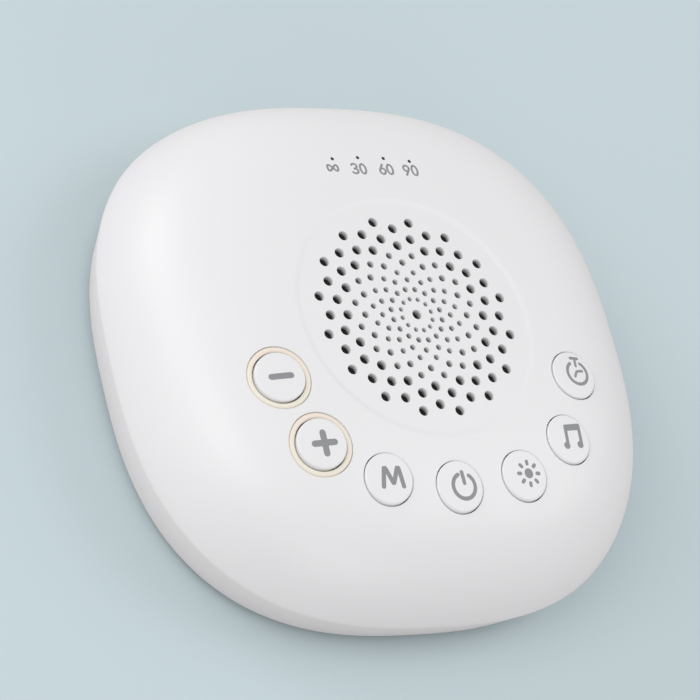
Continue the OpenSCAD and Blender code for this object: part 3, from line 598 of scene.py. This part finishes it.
# The grille: a middle hole, a ring of twelve, and two sets of rings of sixteen holes, turned
# half a step from one another
edges = [e for e in top.edges if len(e.link_faces) == 1
         and all(v.co.xy.length < dish_start + 0.1 for v in e.verts)]
ring_step, half_turn, grille_hoop = 3.73, 360 / 16 / 2, 0.16
grille = [(1, 0, 0, 1.0), (12, half_turn, 3.36, 0.5)]
grille += [(16, half_turn, 5.45 + ring_step * i, r) for i, r in enumerate((0.6, 0.6, 0.72, 1.0, 1.0))]
grille += [(16, 0, 7.47 + ring_step * i, r) for i, r in enumerate((0.6, 0.72, 1.0, 1.0))]
holes = []
for count, start, reach, radius in grille:
    for i in range(count):
        angle = math.radians(start + 360 * i / count)
        x, y = reach * math.cos(angle), reach * math.sin(angle)
        inner, outer = hoop(top, x, y, radius, grille_hoop, 24 if radius > 0.9 else 18)
        small_rims += inner
        edges += outer
        holes.append((x, y, radius + grille_hoop))
fill(top, edges, holes)
for f in top.faces:
    if f.normal.z < 0:
        f.normal_flip()

# A second, lower skin closes it into a wall, and the dome's shape lifts both
skin_gap, wall_from, wall_fade = 9, 0.8, 0.1
grown = bmesh.ops.extrude_face_region(top, geom=top.faces[:], use_keep_orig=True)["geom"]
bmesh.ops.translate(top, verts=[g for g in grown if isinstance(g, bmesh.types.BMVert)],
                    vec=(0, 0, -skin_gap))
bmesh.ops.recalc_face_normals(top, faces=top.faces)
for rims, width, rounds in ((key_rims, 0.12, 3), (small_rims, 0.08, 2)):
    bmesh.ops.bevel(top, geom=rims, offset=width, offset_type="OFFSET", segments=rounds,
                    profile=0.5, affect="EDGES", material=-1)
for v in top.verts:
    x, y = v.co.xy
    if v.co.z > -skin_gap / 2:
        v.co.z += face(x, y)
        edge = min(rim_round, max(0, parting_z + rim_round - v.co.z))
        v.co.xy *= 1 - (rim_round - math.sqrt(rim_round ** 2 - edge ** 2)) / case_half
        continue
    out = math.hypot(x, y) / (case_half * outline(math.atan2(y, x)))
    v.co.xy *= 1 - case_wall / case_half * ease((out - wall_from) / wall_fade)
    v.co.z = max(parting_z, ceiling(*v.co.xy))


def post(x, y, outer, inner, low, steps=32, seat=None):
    """A hollow post that runs up into the inside of the dome; a seat is a wider step in it."""
    high, step = aloft + 0.5, face(x, y) - seat_deep
    bore = [(seat, high), (seat, step), (inner, step)] if seat else [(inner, high)]
    made = turned([(inner, low), (outer, low), (outer, high)] + bore, steps, (x, y), True)
    return laid(made, ceiling)


# The bores of the guide tubes stand back a little behind the rims of the holes
set_back, key_post_r, key_post_turn = 0.03, 27.85, 0.2087
for name, (x, y) in key_places.items():
    seat = ring_seat + set_back if name in ringed else None
    join(top, post(x, y, tube_out, key_hole + set_back, tube_low, 64, seat))
board_top, board_post_r, board_screw_r, case_screw_r = 18.79, 2.1, 0.95, 1.35
board_posts = [(s * x, y) for s in (-1, 1) for x, y in ((37, 4), (22.5, 29.5))]
board_posts += [(key_post_r * math.sin(t), -key_post_r * math.cos(t))
                for t in (-key_post_turn, key_post_turn)]
for x, y in board_posts:
    join(top, post(x, y, board_post_r, board_screw_r, board_top))
for x, y in boss_places:
    join(top, post(x, y, boss_r, case_screw_r, parting_z))
join(top, post(0, 0, cup_out, cup_r + 0.01, seat_z - cup_deep, 128))

# The same plastic, with painted shade that darkens it down in the bores of the grille
bore_shade_start, bore_shade_full = 0.25, 1.5
vented = Effect("vented_plastic", {
    "Tint": (0.8, 0.8, 0.812, 1), "Far tint": (0.785, 0.785, 0.797, 1), "Bore shade": (0.27, 0.27, 0.27, 1)})
spot = vented.add("SeparateXYZ", {0: vented.place})
span = vented.sum("ADD", vented.sum("POWER", spot, 2.0), vented.sum("POWER", spot.node.outputs[1], 2.0))
below = vented.sum("SUBTRACT", dish_floor / 1000, vented.sum(
    "MULTIPLY_ADD", span, 1000 / (2 * dish_ball), spot.node.outputs[2]))
# Painted shade: the deeper down a bore of the grille, the nearer its colour comes to dark grey
in_bore = vented.fade(below, bore_shade_start, bore_shade_full)
in_grille = vented.sum("LESS_THAN", span, (dish_r / 1000) ** 2)
vented.put(
    Colour=vented.mix(vented.sum("MULTIPLY", in_bore, in_grille),
                      vented.mix(vented.noise(26.0, 3.0), vented.given["Tint"], vented.given["Far tint"]),
                      vented.given["Bore shade"]),
    Roughness=vented.swing(vented.noise(90.0, 4.0), 0.36, 0.06), Height=vented.noise(2500.0))
vented_white = finish("vented_white", vented, {}, depth=0.004)
case_top = piece("case_top", top, "housing", vented_white, ["top_shell"])

# The filled-in faces round the holes take their shading from the dome, so none of them shows
on_face = 0.004
leans = [Vector()] * len(case_top.data.loops)
for polygon in case_top.data.polygons:
    corners = [case_top.data.vertices[i].co * 1000 for i in polygon.vertices]
    if all(c.z > parting_z + 0.5 and abs(c.z - face(c.x, c.y)) < on_face for c in corners):
        for i, c in zip(polygon.loop_indices, corners):
            leans[i] = face_lean(c.x, c.y)
case_top.data.normals_split_custom_set(leans)

# ---- Pipe ends ----
# The four ends of the light pipes, thin pegs that stand in the pinholes just under the face.
# Their colour is nearly black, painted shade, so each pinhole shows as a dark dot.
# Painted shade: the pipe ends are coloured nearly black so that the pinholes read dark
pinhole_shade = finish("pinhole_shade_black", moulded, {
    "Tint": (0.008, 0.008, 0.009, 1), "Far tint": (0.014, 0.014, 0.015, 1), "Gloss": 0.3,
    "Grain": 3000.0}, depth=0.004)
peg_r, peg_round, peg_top, peg_low = 0.35, 0.06, aloft - 0.1, aloft - 0.8
profile = [(0, peg_low), (peg_r - 0.01, peg_low), (peg_r, peg_low + 0.01)]
profile += arc((peg_r - peg_round, peg_top - peg_round), (peg_round, peg_round), 0, 90, 3)
profile += [(0, peg_top)]
ends = bmesh.new()
for place in lamp_places:
    join(ends, laid(turned(profile, 20, place), face))
piece("pipe_ends", ends, "housing", pinhole_shade)

# ---- Cream rings ----
# Two soft cream rings, pressed into a step round the volume buttons. Each has a crowned top that
# drops to the face at both edges, with painted shade there and a painted peach reflection at the top.
ring_middle, ring_half_w, ring_crown, ring_low, ring_foot_r = 5.68, 0.56, 0.36, aloft - 0.4, 6.2
edge_shade_out, edge_shade_in, edge_shade_strength, reflection_start, reflection_full = (5.94, 6.06), (5.3, 5.18), 0.8, -1, 6
cream = Effect("ring_cream", {
    "Tint": (0.83, 0.79, 0.68, 1), "Far tint": (0.845, 0.755, 0.655, 1),
    "Edge shade": (0.77, 0.7, 0.58, 1), "Middle": (0.0, 0.0, 0.0)})
level = cream.add("Mapping", {"Vector": cream.place, "Scale": (1, 1, 0)})
reach = cream.add("VectorMath", {0: level, 1: cream.given["Middle"]}, out=1, operation="DISTANCE")
across = cream.add("VectorMath", {0: level, 1: cream.given["Middle"]}, operation="SUBTRACT")
upward = cream.add("SeparateXYZ", {0: across}, out=1)
# Painted shade: both edges of each ring turn a darker tan, where it meets the case and the cap's gap
edge_shade_mask = cream.sum("MAXIMUM", cream.fade(reach, *edge_shade_out), cream.fade(reach, *edge_shade_in))
edge_shade_share = cream.sum("MULTIPLY", edge_shade_mask, edge_shade_strength)
# Painted reflection: towards the top of each ring the cream turns to the peachier far tint
reflection_share = cream.fade(upward, reflection_start, reflection_full)
cream.put(
    Colour=cream.mix(edge_shade_share, cream.mix(reflection_share, cream.given["Tint"], cream.given["Far tint"]),
                     cream.given["Edge shade"]),
    Roughness=cream.swing(cream.noise(120.0, 3.0), 0.44, 0.08), Height=cream.noise(2200.0))

for name in ringed:
    x, y = key_places[name]
    foot = face(x, y) - seat_deep
    profile = [(key_hole, foot), (ring_foot_r, foot)]
    profile += arc((ring_middle, ring_low), (ring_half_w, ring_crown), 0, 180, 14)
    ring = laid(turned(profile, 96, (x, y), True), face)
    piece(name + "_rim_ring", ring, "housing", finish(name + "_ring_cream", cream, {
        "Middle": (x / 1000, y / 1000, 0)}, depth=0.004), [name + "_ring"])

# ---- Buttons ----
# Seven white caps of the same plastic: slightly crowned, with a rounded edge, a collar that
# keeps each in its guide tube, and a pin that presses on the switch.
white_plastic = finish("white_plastic", moulded, {
    "Tint": (0.8, 0.8, 0.812, 1), "Far tint": (0.785, 0.785, 0.797, 1), "Gloss": 0.36,
    "Gloss spread": 0.06}, depth=0.004)
cap_r, cap_proud, cap_ball, cap_round_w, cap_round_h = 4.9, 0.45, 80, 0.34, 0.31
collar_r, collar_top, collar_low = 6.1, 25.79, 24.79
hollow_r, hollow_top, pin_r, pin_low = 3.6, 28.5, 1.5, 23.79


def cap_top(name):
    """Gives the function for the height of the crowned top of a button."""
    x0, y0 = key_places[name]
    middle = Vector((x0, y0, face(x0, y0))) + (cap_proud - cap_ball) * face_lean(x0, y0)
    return lambda x, y: middle.z + math.sqrt(
        cap_ball ** 2 - (x - middle.x) ** 2 - (y - middle.y) ** 2)


# The outline runs out over the crown, down the side to the collar, and in to the pin
profile = [(0.45 * i, aloft) for i in range(11)]
profile += arc((cap_r - cap_round_w, aloft - cap_round_h), (cap_round_w, cap_round_h), 84, 0, 8)
profile += [(cap_r, aloft - 1.5), (cap_r, collar_top + 0.05), (cap_r + 0.1, collar_top),
            (collar_r - 0.1, collar_top), (collar_r, collar_top - 0.1), (collar_r, collar_low),
            (hollow_r, collar_low), (hollow_r, hollow_top), (pin_r, hollow_top),
            (pin_r, pin_low + 0.13), (pin_r - 0.1, pin_low), (0, pin_low)]
for name in key_names:
    cap = laid(turned(profile, 96, key_places[name]), cap_top(name))
    piece(name + "_cap", cap, name + "_key", white_plastic, [name + "_button"])

# ---- Printed marks ----
# Grey ink, pad-printed a few hundredths of a millimetre thick: a plain sign on each button, and
# under the four lamps how long each one stands for, in minutes or without end.
ink = finish("grey_ink", moulded, {
    "Tint": (0.25, 0.255, 0.268, 1), "Far tint": (0.275, 0.28, 0.292, 1), "Gloss": 0.5}, depth=0.003)


def bow(x, y, rx, ry, start, end):
    """A line along an arc of an ellipse."""
    return arc((x, y), (rx, ry), start, end, max(4, round(abs(end - start) / 12)))


def printed(name, lines, at, height, body, thick=0.03, stride=0.35):
    """Round-ended lines of ink; each line is its width and the points that it runs through."""
    made = bmesh.new()
    for width, points in lines:
        curve = bpy.data.curves.new("line", "CURVE")
        curve.dimensions, curve.bevel_depth, curve.bevel_resolution = "3D", width / 2, 2
        curve.use_fill_caps = True
        path = curve.splines.new("POLY")
        fine = [points[0]]
        for a, b in zip(points, points[1:]):
            parts = max(1, math.ceil(math.dist(a, b) / stride))
            fine += [(a[0] + (b[0] - a[0]) * i / parts, a[1] + (b[1] - a[1]) * i / parts)
                     for i in range(1, parts + 1)]
        path.points.add(len(fine) - 1)
        for spot, (x, y) in zip(path.points, fine):
            spot.co = (x, y, 0, 1)
        holder = bpy.data.objects.new("line", curve)
        bpy.context.scene.collection.objects.link(holder)
        mesh = bpy.data.meshes.new_from_object(
            holder.evaluated_get(bpy.context.evaluated_depsgraph_get()))
        line = bmesh.new()
        line.from_mesh(mesh)
        bpy.data.objects.remove(holder)
        for x, y in (points[0], points[-1]):
            end = bmesh.ops.create_uvsphere(line, u_segments=16, v_segments=8, radius=width / 2)
            bmesh.ops.translate(line, verts=end["verts"], vec=(x, y, 0))
        bmesh.ops.scale(line, verts=line.verts, vec=(1, 1, 2 * thick / width))
        join(made, line)
    bmesh.ops.translate(made, verts=made.verts, vec=(at[0], at[1], 0))
    for v in made.verts:
        v.co.z += height(*v.co.xy)
    return piece(name, made, body, ink)


# The sign of each button, in millimetres from the button's middle
marks = {
    "minus": [(1.22, [(-1.88, -0.08), (2.04, 0.07)])],
    "plus": [(1.26, [(-1.62, -0.1), (2.42, 0.06)]), (1.26, [(0.34, 1.96), (0.44, -2.06)])],
    "mode": [(0.9, [(-1.57, -1.56), (-0.92, 1.93), (-0.64, 1.94), (0.52, -0.98), (0.68, -0.98),
                    (1.84, 1.9), (2.12, 1.88), (2.62, -1.66)])],
    "power": [(0.78, bow(0.72, -0.06, 2.38, 2.4, 114, 416)), (0.8, [(0.66, 2.6), (0.86, 0.5)])],
    "light": [(0.74, [(0.8 + 1.88 * math.sin(t), 0.26 + 1.88 * math.cos(t)),
                      (0.8 + 2.33 * math.sin(t), 0.26 + 2.33 * math.cos(t))])
              for t in [math.pi * i / 4 for i in range(8)]] + [(1.92, [(0.8, 0.24), (0.8, 0.3)])],
    "music": [(0.8, [(-0.46, 2.42), (2.74, 2.76)]), (0.8, [(-0.46, 1.92), (2.74, 2.24)]),
              (0.75, [(-0.5, 2.42), (-0.7, -1.4)]), (0.75, [(2.78, 2.76), (2.66, -1.15)]),
              (1.4, [(-0.97, -1.42), (-0.9, -1.38)]), (1.4, [(2.3, -1.15), (2.37, -1.1)])],
    "timer": [(0.68, bow(0.78, 0.35, 2.36, 2.34, 122, 420)), (0.66, [(-0.02, 3.5), (1.66, 3.45)]),
              (0.6, [(0.96, 3.3), (0.82, 1.85)]),
              (0.56, [(0.02, -0.42), (0.54, 0.5), (0.87, 0.7), (2.08, 0.82)])],
}
for name, lines in marks.items():
    printed(name + "_mark", lines, key_places[name], cap_top(name), name + "_key")


def digit(which, x, line=0.46):
    """A narrow figure 2.3 mm tall."""
    return {
        "0": [(line, bow(x, 0, 0.6, 1.12, 90, 450))],
        "3": [(line, bow(x - 0.1, 0.56, 0.58, 0.56, 150, -90)),
              (line, bow(x - 0.1, -0.56, 0.66, 0.56, 90, -150))],
        "6": [(line, bow(x, -0.45, 0.6, 0.66, 0, 360)), (line, [(x + 0.25, 1.12), (x - 0.54, -0.15)])],
        "9": [(line, bow(x, 0.45, 0.6, 0.66, 0, 360)), (line, [(x - 0.25, -1.12), (x + 0.54, 0.15)])],
    }[which]


endless = [(1.14 * math.sin(t), 0.68 * math.sin(2 * t)) for t in [math.pi * i / 24 for i in range(49)]]
times = {
    "endless": ([(0.46, endless)], (-9.28, 32.08)),
    "thirty": (digit("3", -0.9) + digit("0", 0.86), (-3.46, 32.05)),
    "sixty": (digit("6", -0.86) + digit("0", 0.86), (2.6, 32.1)),
    "ninety": (digit("9", -0.92) + digit("0", 0.9), (8.13, 32.05)),
}
for name, (lines, at) in times.items():
    printed(name + "_minutes", lines, at, face, "housing")

# ---- Floor, lamps and camera ----
# A pale matt floor, even light from all round, and five large soft lamps: high ones on the left
# and the right, and low ones on the left, at the back on the left, and in front.
floor_half = 4
floor_mesh = bmesh.new()
bmesh.ops.create_grid(floor_mesh, x_segments=1, y_segments=1, size=floor_half)
mesh = bpy.data.meshes.new("floor")
floor_mesh.to_mesh(mesh)
floor_mesh.free()
matt = bpy.data.materials.new("pale_floor")
matt.use_nodes = True
nodes, links = matt.node_tree.nodes, matt.node_tree.links
surface = nodes["Principled BSDF"]
path = nodes.new("ShaderNodeLightPath")
shade = nodes.new("ShaderNodeMix")
shade.data_type = "RGBA"

# The floor throws a plain grey back on the case, and looks pale blue to the camera
floor_grey, floor_blue = (0.64, 0.64, 0.64, 1), (0.56, 0.66, 0.69, 1)
shade.inputs[6].default_value, shade.inputs[7].default_value = floor_grey, floor_blue
links.new(path.outputs["Is Camera Ray"], shade.inputs[0])
links.new(shade.outputs[2], surface.inputs["Base Color"])
surface.inputs["Roughness"].default_value = 0.9
surface.inputs["Specular IOR Level"].default_value = 0.1
mesh.materials.append(matt)
floor = bpy.data.objects.new("floor", mesh)
bpy.context.scene.collection.objects.link(floor)


def lamp(name, place_at, power, size):
    """A soft round lamp that faces the middle of the table."""
    light = bpy.data.lights.new(name, "AREA")
    light.shape, light.size, light.energy = "DISK", size, power
    made = bpy.data.objects.new(name, light)
    made.location = place_at
    made.rotation_euler = (-Vector(place_at)).to_track_quat("-Z", "Y").to_euler()
    bpy.context.scene.collection.objects.link(made)


lamp_away, lamp_size = 1.2, 0.8
for name, way, rise, power in (("left_high", 180, 50, 3.1), ("right_high", 0, 50, 2.7),
                               ("far_left", 135, 20, 3.5), ("front", 270, 20, 1.5),
                               ("left_low", 180, 20, 1.0)):
    turn, up = math.radians(way), math.radians(rise)
    aim = Vector((math.cos(turn) * math.cos(up), math.sin(turn) * math.cos(up), math.sin(up)))
    lamp(name, aim * lamp_away, power, lamp_size)

world = bpy.data.worlds.new("room")
world.use_nodes = True
world.node_tree.nodes["Background"].inputs["Color"].default_value = (1, 0.99, 0.995, 1)
world.node_tree.nodes["Background"].inputs["Strength"].default_value = 0.61
bpy.context.scene.world = world

# The camera's place is in metres, and its tilts about X, Y and Z are in degrees
camera_place, camera_tilts = (-0.328844, -0.249726, 0.502283), (30.909616, -26.844696, -15.163931)
camera = bpy.data.objects.new("camera", bpy.data.cameras.new("camera"))
camera.data.sensor_width, camera.data.lens = 36, 170.98
camera.data.clip_start, camera.data.clip_end = 0.05, 20
camera.matrix_world = Matrix.LocRotScale(
    Vector(camera_place), Euler([math.radians(a) for a in camera_tilts]), None)
bpy.context.scene.collection.objects.link(camera)
bpy.context.scene.camera = camera
bpy.context.scene.view_settings.view_transform = "Standard"
